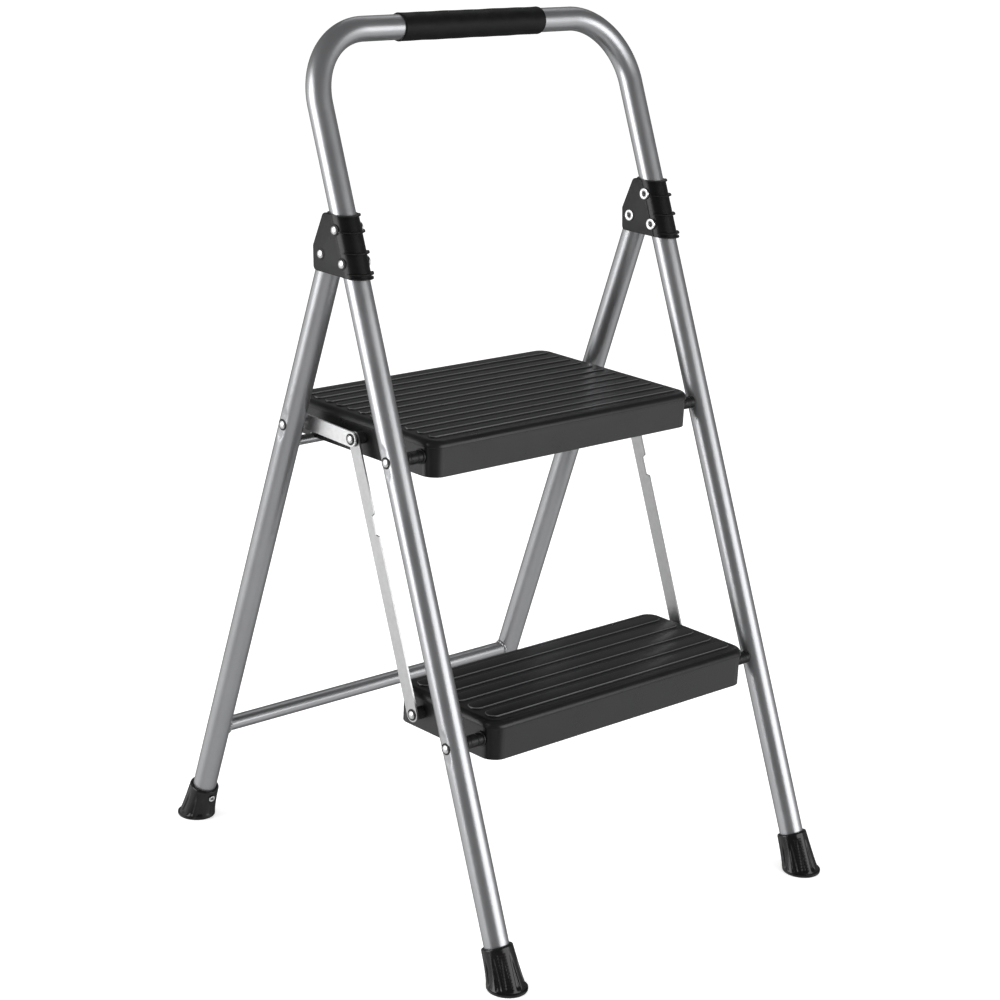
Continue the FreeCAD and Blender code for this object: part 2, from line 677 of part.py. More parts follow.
def stay_rivets():
    """Rivets in the rear legs where the stays pivot."""
    x_out = seat_x(-REAR_HALF)
    head = domed_head(STAY_PIVOT, x_out, HEAD_H, HEAD_R)
    shank = cross_rod(x_out, -REAR_HALF + TUBE_R, STAY_PIVOT, RIVET_R)
    return both_sides([head.fuse(shank).removeSplitter()])


def stay_stub():
    """The left rivet's tail: it stays with the stay and faces the rear leg."""
    tail = cross_rod(-STAY_X, -STAY_X + TAIL_H, STAY_PIVOT, TAIL_R)
    shank = cross_rod(-REAR_HALF + TUBE_R + STUB_GAP, -STAY_X, STAY_PIVOT, RIVET_R)
    return tail.fuse(shank).removeSplitter()


# ---------------------------------------------------------------- build
def save_all():
    os.makedirs("parts", exist_ok=True)
    save("front_frame", front_frame())
    save("hand_grip", grip())
    save("bracket_rivets", bracket_rivets())
    save("hinge_pins", hinge_pins())
    save("top_step_rivets", step_pivot_rivets(TOP_PIVOT_T))
    save("lower_step_rivets", step_pivot_rivets(LOW_PIVOT_T))
    save("top_step_sleeves", pivot_sleeves(TOP_PIVOT_T))
    save("lower_step_sleeves", pivot_sleeves(LOW_PIVOT_T))
    save("step_pivot_washers", pivot_washers())
    save("rear_crossbar", crossbar())
    save("step_rest_bar", rear_cross_member(REST_BAR, REST_BAR_R))
    save("crossbar_welds", welds())
    save("boot_rivets_front", boot_rivets(on_front))
    save("boot_rivets_rear", boot_rivets(on_rear))
    save("top_step_tray", top_tray())
    save("top_step_tread", tread(TOP_PIVOT, TOP_STEP))
    save("lower_step_tray", tray(LOW_PIVOT, LOW_PIN, LOW_STEP))
    save("lower_step_tread", tread(LOW_PIVOT, LOW_STEP))
    save("upper_link_pins", upper_link_pins())
    save("lower_link_pins", lower_link_pins())
    save("upper_link_spacers", upper_link_spacers())
    save("lower_link_spacers", lower_link_spacers())
    save("stay_rivets", stay_rivets())
    pairs = {"hinge_bracket": bracket(), "front_boot": boot(on_front),
             "rear_leg": rear_leg(), "rear_boot": boot(on_rear),
             "link": link(), "stay": stay(), "stay_stub": stay_stub()}
    for name, left in pairs.items():
        save(name + "_left", left)
        save(name + "_right", mirrored(left))


save_all()
for name, point in (("hinge", HINGE), ("top step pivot", TOP_PIVOT),
                    ("lower step pivot", LOW_PIVOT), ("upper link pin", TOP_PIN),
                    ("lower link pin", LOW_PIN), ("stay pivot", STAY_PIVOT)):
    print("%-17s y %10.4f  z %10.4f" % (name, point[0], point[1]))
print("rear frame turns %.4f, stay turns %.4f" % tuple(map(math.degrees, folded_angles())))
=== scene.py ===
"""Looks of the folding two-step step stool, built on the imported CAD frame. Metres."""

import json
import math

import bmesh
import bpy
from mathutils import Matrix, Vector

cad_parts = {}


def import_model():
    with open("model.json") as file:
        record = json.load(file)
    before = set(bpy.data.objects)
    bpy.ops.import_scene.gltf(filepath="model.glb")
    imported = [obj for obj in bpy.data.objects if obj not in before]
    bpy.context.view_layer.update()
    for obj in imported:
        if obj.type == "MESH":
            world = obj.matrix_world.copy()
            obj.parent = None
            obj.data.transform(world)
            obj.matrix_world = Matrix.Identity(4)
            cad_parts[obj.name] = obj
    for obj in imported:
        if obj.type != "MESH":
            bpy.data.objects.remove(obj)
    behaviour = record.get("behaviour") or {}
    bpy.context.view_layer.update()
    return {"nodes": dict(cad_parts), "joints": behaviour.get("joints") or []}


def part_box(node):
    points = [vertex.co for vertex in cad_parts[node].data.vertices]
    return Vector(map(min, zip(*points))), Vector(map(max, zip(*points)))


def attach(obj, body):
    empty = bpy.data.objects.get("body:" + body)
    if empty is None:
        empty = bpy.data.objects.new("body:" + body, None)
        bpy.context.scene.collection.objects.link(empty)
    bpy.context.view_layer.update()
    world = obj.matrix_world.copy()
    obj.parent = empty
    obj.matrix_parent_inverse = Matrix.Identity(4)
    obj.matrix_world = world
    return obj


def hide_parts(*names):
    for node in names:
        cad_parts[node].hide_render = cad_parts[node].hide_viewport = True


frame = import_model()
scene = bpy.context.scene

MM = 0.001
CAMERA_AT = Vector((-1.7116, -1.7673, 1.1338))
CAMERA_YAW = math.radians(43.79)
CAMERA_PITCH = math.radians(16.89)
CAMERA_ROLL = math.radians(2.96)
CAMERA_LENS = 89.14


# ---------------------------------------------------------------- materials
class Recipe:
    """A node material under construction, in object coordinates (metres)."""

    def __init__(self, name):
        self.material = bpy.data.materials.new(name)
        self.material.use_nodes = True
        self.tree = self.material.node_tree
        self.shader = self.tree.nodes["Principled BSDF"]
        self.place = self.add("ShaderNodeTexCoord").outputs["Object"]

    def add(self, kind, **settings):
        made = self.tree.nodes.new(kind)
        for key, value in settings.items():
            setattr(made, key, value)
        return made

    def link(self, output, target):
        self.tree.links.new(output, target)

    def set(self, **values):
        for key, value in values.items():
            self.shader.inputs[key.replace("_", " ")].default_value = value

    def stretched(self, x, y, z):
        """The coordinates, stretched along an axis for brushed or moulded grain."""
        move = self.add("ShaderNodeMapping")
        move.inputs["Scale"].default_value = (x, y, z)
        self.link(self.place, move.inputs["Vector"])
        return move.outputs["Vector"]

    def noise(self, scale, detail=3.0, roughness=0.55, where=None):
        made = self.add("ShaderNodeTexNoise")
        made.inputs["Scale"].default_value = scale
        made.inputs["Detail"].default_value = detail
        made.inputs["Roughness"].default_value = roughness
        self.link(where or self.place, made.inputs["Vector"])
        return made.outputs["Fac"]

    def cells(self, scale):
        made = self.add("ShaderNodeTexVoronoi", feature="F1")
        made.inputs["Scale"].default_value = scale
        self.link(self.place, made.inputs["Vector"])
        return made.outputs["Distance"]

    def span(self, value, low, high, to_low, to_high):
        """Map value from low..high to to_low..to_high, held at both ends."""
        made = self.add("ShaderNodeMapRange")
        for key, number in (("From Min", low), ("From Max", high),
                            ("To Min", to_low), ("To Max", to_high)):
            made.inputs[key].default_value = number
        self.link(value, made.inputs["Value"])
        return made.outputs["Result"]

    def math(self, operation, a, b):
        made = self.add("ShaderNodeMath", operation=operation)
        for socket, value in zip(made.inputs, (a, b)):
            if isinstance(value, (int, float)):
                socket.default_value = value
            else:
                self.link(value, socket)
        return made.outputs["Value"]

    def mix(self, share, a, b):
        made = self.add("ShaderNodeMix", data_type="RGBA")
        self.link(share, made.inputs[0])
        for socket, value in ((made.inputs[6], a), (made.inputs[7], b)):
            if isinstance(value, tuple):
                socket.default_value = (*value, 1.0)
            else:
                self.link(value, socket)
        return made.outputs[2]

    def edges(self):
        """1 on convex edges, 0 elsewhere."""
        point = self.add("ShaderNodeNewGeometry").outputs["Pointiness"]
        return self.span(point, 0.52, 0.62, 0.0, 1.0)

    def colour(self, socket):
        self.link(socket, self.shader.inputs["Base Color"])

    def rough(self, socket):
        self.link(socket, self.shader.inputs["Roughness"])

    def bump(self, heights):
        """Stack bumps from (height, strength, distance) entries."""
        last = None
        for height, strength, distance in heights:
            made = self.add("ShaderNodeBump")
            made.inputs["Strength"].default_value = strength
            made.inputs["Distance"].default_value = distance
            self.link(height, made.inputs["Height"])
            if last:
                self.link(last, made.inputs["Normal"])
            last = made.outputs["Normal"]
        self.link(last, self.shader.inputs["Normal"])


def silver_paint(name):
    """Silver powder coat: fine flake, orange peel, faint scuffs."""
    r = Recipe(name)
    flake = r.noise(2600, 2)
    cloud = r.noise(14, 3)
    scuff = r.noise(90, 6, 0.7, r.stretched(1, 1, 0.35))
    tone = r.mix(r.span(cloud, 0.35, 0.65, 0, 1), (0.300, 0.303, 0.312), (0.330, 0.333, 0.342))
    tone = r.mix(r.span(flake, 0.35, 0.7, 0, 0.30), tone, (0.46, 0.465, 0.48))
    tone = r.mix(r.span(scuff, 0.66, 0.78, 0, 0.35), tone, (0.22, 0.22, 0.225))
    r.colour(tone)
    grain = r.math("ADD", r.span(cloud, 0.3, 0.7, 0.31, 0.37), r.span(scuff, 0.6, 0.8, 0, 0.14))
    r.rough(grain)
    r.set(Metallic=0.88)
    r.bump([(r.noise(420, 2), 0.10, 0.0004), (flake, 0.06, 0.00012)])
    return r.material


def bare_zinc(name, grain_axis=None, bright=0.52):
    """Zinc plated steel: fine brushing and a faint spangle."""
    r = Recipe(name)
    where = r.stretched(*grain_axis) if grain_axis else r.place
    brush = r.noise(900, 3, 0.6, where)
    spangle = r.cells(190)
    tone = r.mix(r.span(spangle, 0.1, 0.7, 0, 1), (bright * 0.93,) * 3,
                 (bright, bright, bright * 1.01))
    tone = r.mix(r.span(r.noise(60, 5, 0.7), 0.62, 0.8, 0, 0.4), tone, (0.28, 0.28, 0.28))
    r.colour(tone)
    r.rough(r.span(brush, 0.3, 0.7, 0.30, 0.44))
    r.set(Metallic=1.0)
    r.bump([(brush, 0.08, 0.0002)])
    return r.material


def black_moulding(name, tone=0.006, rough=(0.27, 0.36), grain=1500, shine=0.27):
    """Moulded black plastic or rubber: fine grain, random scuffs, and a painted highlight along
    its convex edges.
    """
    scuff = 0.03
    r = Recipe(name)
    fine = r.noise(grain, 3)
    broad = r.noise(22, 4)
    wear_and_highlight = r.noise(160, 6, 0.72)
    base = r.mix(r.span(broad, 0.3, 0.7, 0, 1), (tone, tone, tone * 1.03),
                 (tone * 1.5, tone * 1.5, tone * 1.55))
    base = r.mix(r.span(wear_and_highlight, 0.60, 0.80, 0, 0.5), base, (scuff, scuff, scuff))
    # Convex edges painted lighter: a painted highlight.
    base = r.mix(r.math("MULTIPLY", r.edges(), 0.35), base, (scuff * 1.3,) * 3)
    r.colour(base)
    r.set(Specular_IOR_Level=shine)
    r.rough(r.math("ADD", r.span(broad, 0.3, 0.7, *rough), r.span(wear_and_highlight, 0.6, 0.8, 0, 0.12)))
    r.bump([(fine, 0.35, 0.00012), (wear_and_highlight, 0.05, 0.0002)])
    return r.material


def with_painted_highlight(material):
    """Lighten a moulding by its vertex attribute: a painted highlight along the ribs' upper edges.
    """
    tree = material.node_tree
    shader = tree.nodes["Principled BSDF"]
    wear_and_highlight = tree.nodes.new("ShaderNodeAttribute")
    wear_and_highlight.attribute_name = "wear_and_highlight"
    mixer = tree.nodes.new("ShaderNodeMix")
    mixer.data_type = "RGBA"
    base = shader.inputs["Base Color"].links[0].from_socket
    tree.links.new(wear_and_highlight.outputs["Fac"], mixer.inputs[0])
    tree.links.new(base, mixer.inputs[6])
    # The colour of the painted highlight along the ribs.
    mixer.inputs[7].default_value = (0.13, 0.13, 0.135, 1.0)
    tree.links.new(mixer.outputs[2], shader.inputs["Base Color"])
    return material


def black_steel(name):
    """Black powder coat on pressed sheet steel: satin, slight orange peel."""
    r = Recipe(name)
    cloud = r.noise(18, 3)
    peel = r.noise(650, 2)
    chip = r.noise(240, 6, 0.75)
    base = r.mix(r.span(cloud, 0.3, 0.7, 0, 1), (0.0034, 0.0034, 0.0038), (0.0055, 0.0055, 0.0060))
    base = r.mix(r.span(chip, 0.70, 0.80, 0, 0.4), base, (0.03, 0.03, 0.031))
    r.colour(base)
    r.set(Specular_IOR_Level=0.44)
    r.rough(r.math("ADD", r.span(cloud, 0.3, 0.7, 0.25, 0.33), r.span(peel, 0.3, 0.7, 0, 0.05)))
    r.bump([(peel, 0.14, 0.0002)])
    return r.material


def foam(name):
    """Closed-cell foam: matt black with small open pores, painted darker inside as shade."""
    r = Recipe(name)
    pores = r.cells(1500)
    soft = r.noise(70, 4)
    base = r.mix(r.span(soft, 0.3, 0.7, 0, 1), (0.004, 0.004, 0.0044), (0.007, 0.007, 0.0074))
    # Darker at the pore centres: painted shade in the pores.
    base = r.mix(r.span(pores, 0.0, 0.35, 0.5, 0), base, (0.004, 0.004, 0.004))
    r.colour(base)
    r.set(Specular_IOR_Level=0.12)
    r.rough(r.span(soft, 0.3, 0.7, 0.42, 0.54))
    r.bump([(pores, 0.35, 0.0002), (soft, 0.12, 0.0008)])
    return r.material


SILVER = silver_paint("silver_powder_coat")
LINK_ZINC = bare_zinc("link_zinc", (1, 1, 0.06), 0.42)
# A darker copy of the link zinc for the right link: painted shade.
LINK_ZINC_PAINTED_SHADE = bare_zinc("link_zinc_painted_shade", (1, 1, 0.06), 0.29)
STAY_ZINC = bare_zinc("stay_zinc", (1, 0.06, 1), 0.60)
# A black finish for the rims round rivet domes: painted shade.
RIM_PAINTED_SHADE = black_moulding("rivet_rim_painted_shade", rough=(0.30, 0.40))
RIVET = bare_zinc("rivet_zinc", bright=0.62)
TREAD = with_painted_highlight(black_moulding("tread_plastic"))
TRAY = black_steel("tray_black_steel")
GRIP = foam("grip_foam")
BRACKET = black_moulding("bracket_plastic", tone=0.003, rough=(0.27, 0.35), grain=1900,
                         shine=0.19)
SPACER = black_moulding("spacer_plastic", rough=(0.36, 0.44))
RUBBER = black_moulding("boot_rubber", tone=0.003, rough=(0.16, 0.25), grain=1200, shine=0.30)

FINISH = {
    "front_frame": SILVER, "rear_leg_left": SILVER, "rear_leg_right": SILVER,
    "rear_crossbar": SILVER, "step_rest_bar": SILVER, "crossbar_welds": SILVER,
    "hand_grip": GRIP,
    "hinge_bracket_left": BRACKET, "hinge_bracket_right": BRACKET,
    "bracket_rivets": RIVET, "hinge_pins": RIVET, "top_step_rivets": RIVET,
    "lower_step_rivets": RIVET, "upper_link_pins": RIVET, "lower_link_pins": RIVET,
    "stay_rivets": RIVET, "boot_rivets_front": RIVET, "boot_rivets_rear": RIVET,
    "stay_stub_left": RIVET, "stay_stub_right": RIVET, "step_pivot_washers": RIVET,
    "top_step_sleeves": SPACER, "lower_step_sleeves": SPACER,
    "upper_link_spacers": SPACER, "lower_link_spacers": SPACER,
    "link_left": LINK_ZINC, "link_right": LINK_ZINC_PAINTED_SHADE,
    "stay_left": STAY_ZINC, "stay_right": STAY_ZINC,
    "top_step_tray": TRAY, "lower_step_tray": TRAY,
    "top_step_tread": TREAD, "lower_step_tread": TREAD,
    "front_boot_left": RUBBER, "front_boot_right": RUBBER,
    "rear_boot_left": RUBBER, "rear_boot_right": RUBBER,
}
for node_name, node_finish in FINISH.items():
    for material_slot in frame["nodes"][node_name].material_slots:
        material_slot.material = node_finish


# ---------------------------------------------------------------- places from the frame
TUBE_R = 12.5 * MM
FRONT_HALF = 215.8 * MM         # front leg axis to the middle plane, at the floor
FRONT_TAPER = math.radians(0.23)
LOW_PIVOT_T = 236.2 * MM        # distance up the front leg from the floor
TUBE_START = 7 * MM
HANDLE_BEND_R = 72 * MM
FIX_RIVET_T = (741 * MM, 708 * MM)
ROUND = 96                      # facets round a tube


def middle(node):
    low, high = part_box(node)
    return (low + high) / 2


def inner_end(node):
    """The x of a left part's inner end, for a node that has its mirror on the right."""
    return -min(abs(v.co.x) for v in frame["nodes"][node].data.vertices)


PIVOT = {j["name"]: Vector(j["pos_m"]) for j in frame["joints"]}
HINGE = PIVOT["rear_frame_fold"]
TOP_PIVOT = PIVOT["top_step_fold"]
LOW_PIVOT = PIVOT["lower_step_fold"]
UPPER_PIN = middle("upper_link_pins")
LOWER_PIN = middle("lower_link_pins")
STAY_PIVOT = middle("stay_rivets")
for spot in (HINGE, TOP_PIVOT, LOW_PIVOT, UPPER_PIN, LOWER_PIN, STAY_PIVOT):
    spot.x = 0.0

# Directions along each pair of legs, and square to them in the side view.
UP_FRONT = (TOP_PIVOT - LOW_PIVOT).normalized()
BEHIND = Vector((0, UP_FRONT.z, -UP_FRONT.y))
UP_REAR = (HINGE - STAY_PIVOT).normalized()
AHEAD = Vector((0, -UP_REAR.z, UP_REAR.y))
REAR_HALF = abs(middle("rear_leg_left").x)
REAR_FOOT = STAY_PIVOT - UP_REAR * (STAY_PIVOT.z / UP_REAR.z)


def on_front(t, side=-1, behind=0.0):
    """A point on a front leg's axis; side is -1 on the left and 1 on the right."""
    spot = LOW_PIVOT + UP_FRONT * (t - LOW_PIVOT_T) + BEHIND * behind
    spot.x = side * (FRONT_HALF - t * math.tan(FRONT_TAPER))
    return spot


def on_rear(s, side=-1, ahead=0.0):
    """A point on a rear leg's axis."""
    spot = REAR_FOOT + UP_REAR * s + AHEAD * ahead
    spot.x = side * REAR_HALF
    return spot


# ---------------------------------------------------------------- mesh building
def smooth(x):
    """0 below 0, 1 above 1, and an S curve between."""
    x = max(0.0, min(1.0, x))
    return x * x * (3 - 2 * x)


def blend_min(a, b, soft):
    """The smaller of two numbers, rounded over where they cross."""
    h = max(soft - abs(a - b), 0.0) / soft
    return min(a, b) - h * h * soft / 4


def skin(rings, cap_start=True, cap_end=True):
    """Points and faces of a skin over closed rings of equal size."""
    n = len(rings[0])
    points = [p for loop in rings for p in loop]
    faces = []
    for i in range(len(rings) - 1):
        a, b = i * n, (i + 1) * n
        faces += [(a + j, a + (j + 1) % n, b + (j + 1) % n, b + j) for j in range(n)]
    if cap_start:
        faces.append(tuple(reversed(range(n))))
    if cap_end:
        faces.append(tuple(range(len(points) - n, len(points))))
    return points, faces


def joined(parts):
    """One list of points and faces out of several."""
    points, faces = [], []
    for part_points, part_faces in parts:
        base = len(points)
        points += part_points
        faces += [tuple(i + base for i in face) for face in part_faces]
    return points, faces


def mirrored(part):
    """The same part on the other side of the middle plane."""
    points, faces = part
    return ([Vector((-p.x, p.y, p.z)) for p in points],
            [tuple(reversed(face)) for face in faces])


def both(part):
    return joined([part, mirrored(part)])


def piece(name, part, body, finish, stands_for, crease=35, wear_and_highlight=None):
    """A shown object from points and faces, riding on a CAD body in place of its nodes.

    The last argument, if given, turns a point into how bright its painted highlight is, from 0 to
    1.
    """
    mesh = bpy.data.meshes.new(name)
    mesh.from_pydata(part[0], [], part[1])
    work = bmesh.new()
    work.from_mesh(mesh)
    bmesh.ops.remove_doubles(work, verts=work.verts, dist=1e-6)
    bmesh.ops.recalc_face_normals(work, faces=work.faces)
    work.to_mesh(mesh)
    work.free()
    mesh.shade_smooth()
    mesh.set_sharp_from_angle(angle=math.radians(crease))
    mesh.materials.append(finish)
    # A vertex attribute that sets where the painted highlight falls.
    if wear_and_highlight:
        highlight_layer = mesh.attributes.new("wear_and_highlight", "FLOAT", "POINT")
        highlight_layer.data.foreach_set("value", [wear_and_highlight(v.co) for v in mesh.vertices])
    made = bpy.data.objects.new(name, mesh)
    scene.collection.objects.link(made)
    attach(made, body)
    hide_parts(*stands_for)
    return made


def ring(centre, a, b, radius, count=ROUND):
    """Points round a centre; a and b are the ring's axes."""
    turns = [2 * math.pi * i / count for i in range(count)]
    return [centre + (a * math.cos(t) + b * math.sin(t)) * radius for t in turns]


def lathe(profile, centre, axis, around=64):
    """A turned shape. The profile lists (radius, distance along the axis)."""
    a = axis.orthogonal().normalized()
    b = axis.cross(a)
    rings = [ring(centre + axis * along, a, b, max(radius, 1e-5), around)
             for radius, along in profile]
    return skin(rings)


def ramp(start, end, step):
    """Even steps from start to end, none longer than step."""
    count = max(1, math.ceil(abs(end - start) / step))
    return [start + (end - start) * i / count for i in range(count + 1)]


# ---------------------------------------------------------------- tubes
SEAT_DEPTH = 0.9 * MM
SEAT_R = 6.8 * MM
SEAT_BLEND = 7.5 * MM
SEAT_LENGTH = 1.75              # a pressed seat is longer along the tube than across it
SEAT_SOFT = 0.5 * MM
SEAT_ZONE = 26 * MM             # the tube's rings are closer together this near a seat
SEAT_STEP = 1 * MM
TUBE_STEP = 12 * MM
BEND_STEPS = 60
PAST_HINGE = 8 * MM


def pressed(point, side, axis_x, up, seats):
    """Push a tube's wall in round the rivet seats on its outer side."""
    out = side * (point.x - axis_x)
    if out <= 0:
        return point
    for seat in seats:
        gap = Vector((0, point.y - seat.y, point.z - seat.z))
        along = gap.dot(up)
        across = math.sqrt(max(gap.length_squared - along * along, 0))
        reach = math.hypot(across, along / SEAT_LENGTH)
        rise = smooth((reach - SEAT_R) / SEAT_BLEND) * 2 * SEAT_DEPTH
        if reach < SEAT_R + SEAT_BLEND:
            out = blend_min(out, TUBE_R - SEAT_DEPTH + rise, SEAT_SOFT)
    return Vector((axis_x + side * out, point.y, point.z))


def stations(start, end, seats):
    """Distances along a tube, close together near the rivet seats."""
    marks = set(ramp(start, end, TUBE_STEP))
    for seat in seats:
        marks.update(t for t in ramp(seat - SEAT_ZONE, seat + SEAT_ZONE, SEAT_STEP)
                     if start < t < end)
    return sorted(marks)


def front_tube():
    """Half of the frame tube: a leg, a bend and half of the handle; the rest is its mirror."""
    handle = middle("hand_grip")
    handle_t = (handle - LOW_PIVOT).dot(UP_FRONT) + LOW_PIVOT_T
    corner, low = on_front(handle_t), on_front(TUBE_START)
    down = (low - corner).normalized()
    right = Vector((1, 0, 0))
    half_bend = (math.pi - down.angle(right)) / 2
    reach = HANDLE_BEND_R * math.tan(half_bend)
    hub = corner + (down + right).normalized() * HANDLE_BEND_R / math.cos(half_bend)
    seats = (LOW_PIVOT_T, (TOP_PIVOT - LOW_PIVOT).length + LOW_PIVOT_T)
    path = [(on_front(t), -down) for t in stations(TUBE_START, handle_t - reach, seats)]
    spoke = (corner + down * reach - hub).normalized()
    aside = -down
    for i in range(1, BEND_STEPS):
        turn = 2 * half_bend * i / BEND_STEPS
        path.append((hub + (spoke * math.cos(turn) + aside * math.sin(turn)) * HANDLE_BEND_R,
                     aside * math.cos(turn) - spoke * math.sin(turn)))
    path += [(Vector((x, corner.y, corner.z)), right)
             for x in ramp(corner.x + reach, 0, TUBE_STEP)]
    rings = []
    for centre, ahead in path:
        made = ring(centre, BEHIND, ahead.cross(BEHIND).normalized(), TUBE_R)
        if ahead.dot(down) < -0.999:
            made = [pressed(p, -1, centre.x, UP_FRONT, (TOP_PIVOT, LOW_PIVOT)) for p in made]
        rings.append(made)
    return both(skin(rings, cap_end=False))


def rear_tube(side):
    """A rear leg, from inside its boot to just past the hinge pin."""
    top = (HINGE - REAR_FOOT).length + PAST_HINGE
    seat = (STAY_PIVOT - REAR_FOOT).length
    across = UP_REAR.cross(AHEAD).normalized()
    rings = []
    for s in stations(TUBE_START, top, (seat,)):
        centre = on_rear(s, side)
        rings.append([pressed(p, side, centre.x, UP_REAR, (STAY_PIVOT,))
                      for p in ring(centre, AHEAD, across, TUBE_R)])
    return skin(rings)


def cross_member(node):
    """A bar between the rear legs with its ends coped to them."""
    low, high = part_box(node)
    radius = (high.z - low.z) / 2
    centre = (low + high) / 2
    a, b = Vector((0, 1, 0)), Vector((0, 0, 1))
    rings = []
    for x in ramp(-REAR_HALF, REAR_HALF, 10 * MM):
        made = []
        for p in ring(Vector((x, centre.y, centre.z)), a, b, radius, 64):
            off = (p - centre).dot(AHEAD)
            limit = REAR_HALF - math.sqrt(TUBE_R ** 2 - off ** 2)
            made.append(Vector((max(-limit, min(limit, p.x)), p.y, p.z)))
        rings.append(made)
    return skin(rings)


WELD_BEAD = {"rear_crossbar": 1.9 * MM, "step_rest_bar": 1.5 * MM}     # radius of a bead


def weld(node, bead):
    """Rippled weld beads round both ends of a bar."""
    low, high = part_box(node)
    radius = (high.z - low.z) / 2
    centre = (low + high) / 2
    count = 120
    rings = []
    for i in range(count):
        turn = 2 * math.pi * i / count
        round_bar = Vector((0, math.cos(turn), math.sin(turn)))
        off = round_bar.dot(AHEAD) * radius
        x = -REAR_HALF + math.sqrt(TUBE_R ** 2 - off ** 2)
        size = bead * (1 + 0.13 * math.sin(turn * 11) + 0.05 * math.sin(turn * 4 + 1))
        spot = Vector((x, centre.y, centre.z)) + round_bar * radius
        rings.append(ring(spot, Vector((1, 0, 0)), round_bar, size, 16))
    rings.append(rings[0])
    return both(skin(rings, False, False))


# ---------------------------------------------------------------- rivets and spacers
SHANK_R = 3.2 * MM
HEAD_H = 2.2 * MM
TAIL_H = 1.6 * MM
RIM_START = 4.3 * MM            # a head is painted dark outside this radius, as painted shade round the dome
SLEEVE_R = 6.5 * MM
SLEEVE_FLANGE_R = 7.6 * MM
SLEEVE_GROOVE = 0.45 * MM
SLEEVE_PLAY = 0.1 * MM
SLEEVE_SUNK = 0.4 * MM          # how far a sleeve sinks into the leg
# Half sections of a rivet's two ends, as (radius, height above its seat), in millimetres.
HEAD = ((0.0, 2.2), (0.9, 2.16), (1.8, 2.02), (2.6, 1.8), (3.3, 1.5), (3.9, 1.12), (4.25, 0.75),
        (4.4, 0.42), (4.62, 0.26), (4.95, 0.26), (5.15, 0.42), (5.4, 0.5), (5.65, 0.46),
        (5.84, 0.3), (5.9, 0.1), (5.9, 0.0))
TAIL = ((6.1, 0.0), (6.1, 0.95), (5.95, 1.3), (5.6, 1.52), (4.8, 1.6), (3.8, 1.52), (3.0, 1.3),
        (2.5, 0.9), (2.3, 0.3), (2.3, -3.4), (0.0, -3.4))


def rivet(spot, x_out, x_in, tail=()):
    """A left-side rivet: a domed head on a rim at x_out, a shank to x_in, and any tail there."""
    depth = x_out - x_in
    profile = [(r * MM, h * MM) for r, h in HEAD]
    profile += [(SHANK_R, 0.0), (SHANK_R, depth)]
    profile += [(r * MM, depth - h * MM) for r, h in tail]
    return lathe(profile, Vector((x_out, spot.y, spot.z)), Vector((-1, 0, 0)))


def paint_rim_shade(made, spots, x_out):
    """Paint the rims round the domes of rivet heads dark: painted shade, a dark ring round each
    dome.
    """
    made.data.materials.append(RIM_PAINTED_SHADE)
    for face in made.data.polygons:
        p = face.center
        if abs(p.x) < abs(x_out) - 0.02 * MM:
            continue
        if min(math.hypot(p.y - s.y, p.z - s.z) for s in spots) > RIM_START:
            face.material_index = 1


def rivet_pair(name, node, spots, body):
    """Rivets on both sides, between the outer and inner x of their CAD node."""
    x_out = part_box(node)[0].x + HEAD_H
    parts = [rivet(spot, x_out, inner_end(node) - TAIL_H, TAIL) for spot in spots]
    made = piece(name, both(joined(parts)), body, RIVET, (node,), 50)
    paint_rim_shade(made, spots, x_out)


def sleeve(spot, x_far, x_near):
    """A left black spacer: a barrel with two grooves, and a flange at the step."""
    bore, barrel, flange = SHANK_R + SLEEVE_PLAY, SLEEVE_R, SLEEVE_FLANGE_R
    length = x_near - x_far
    profile = [(bore, 0), (barrel, 0)]
    body_end = length - 1.9 * MM
    for d in ramp(0.4 * MM, body_end, 0.3 * MM):
        wave = 0.5 - 0.5 * math.cos(2 * math.pi * d / (body_end / 2))
        profile.append((barrel - SLEEVE_GROOVE * wave ** 6, d))
    profile += [(barrel, body_end + 0.1 * MM), (flange - 0.2 * MM, body_end + 0.3 * MM),
                (flange, body_end + 0.6 * MM), (flange, length - 0.3 * MM),
                (flange - 0.3 * MM, length), (bore, length)]
    return lathe(profile, Vector((x_far, spot.y, spot.z)), Vector((1, 0, 0)))


# ---------------------------------------------------------------- boots
SOLE_R = 20.3 * MM
SOLE_SHIFT = 2.0 * MM
COLLAR_R = 15.6 * MM
BOOT_TAPER = 2.2 * MM           # the sleeve is this much wider at the sole, besides its flare
BOOT_TOP = 41.5 * MM            # collar and eyelet, as distances up the leg
EYELET_T = 33 * MM
EYELET_OUT = 17.4 * MM
WALL = (0.085, 0.965)           # the fluted part, as shares of the height
WALL_RINGS = 90
FLUTES = 11
PER_FLUTE = 20
STRIP_TURN = math.radians(-121)  # where the front boots' ribbed strip faces
STRIP_RIBS = 16


def boot_radius(u):
    """Radius of a boot from its sole, u = 0, to its collar, u = 1."""
    flare = (1 - u) ** 3.2
    return COLLAR_R + BOOT_TAPER * (1 - u) + (SOLE_R - COLLAR_R - BOOT_TAPER) * flare


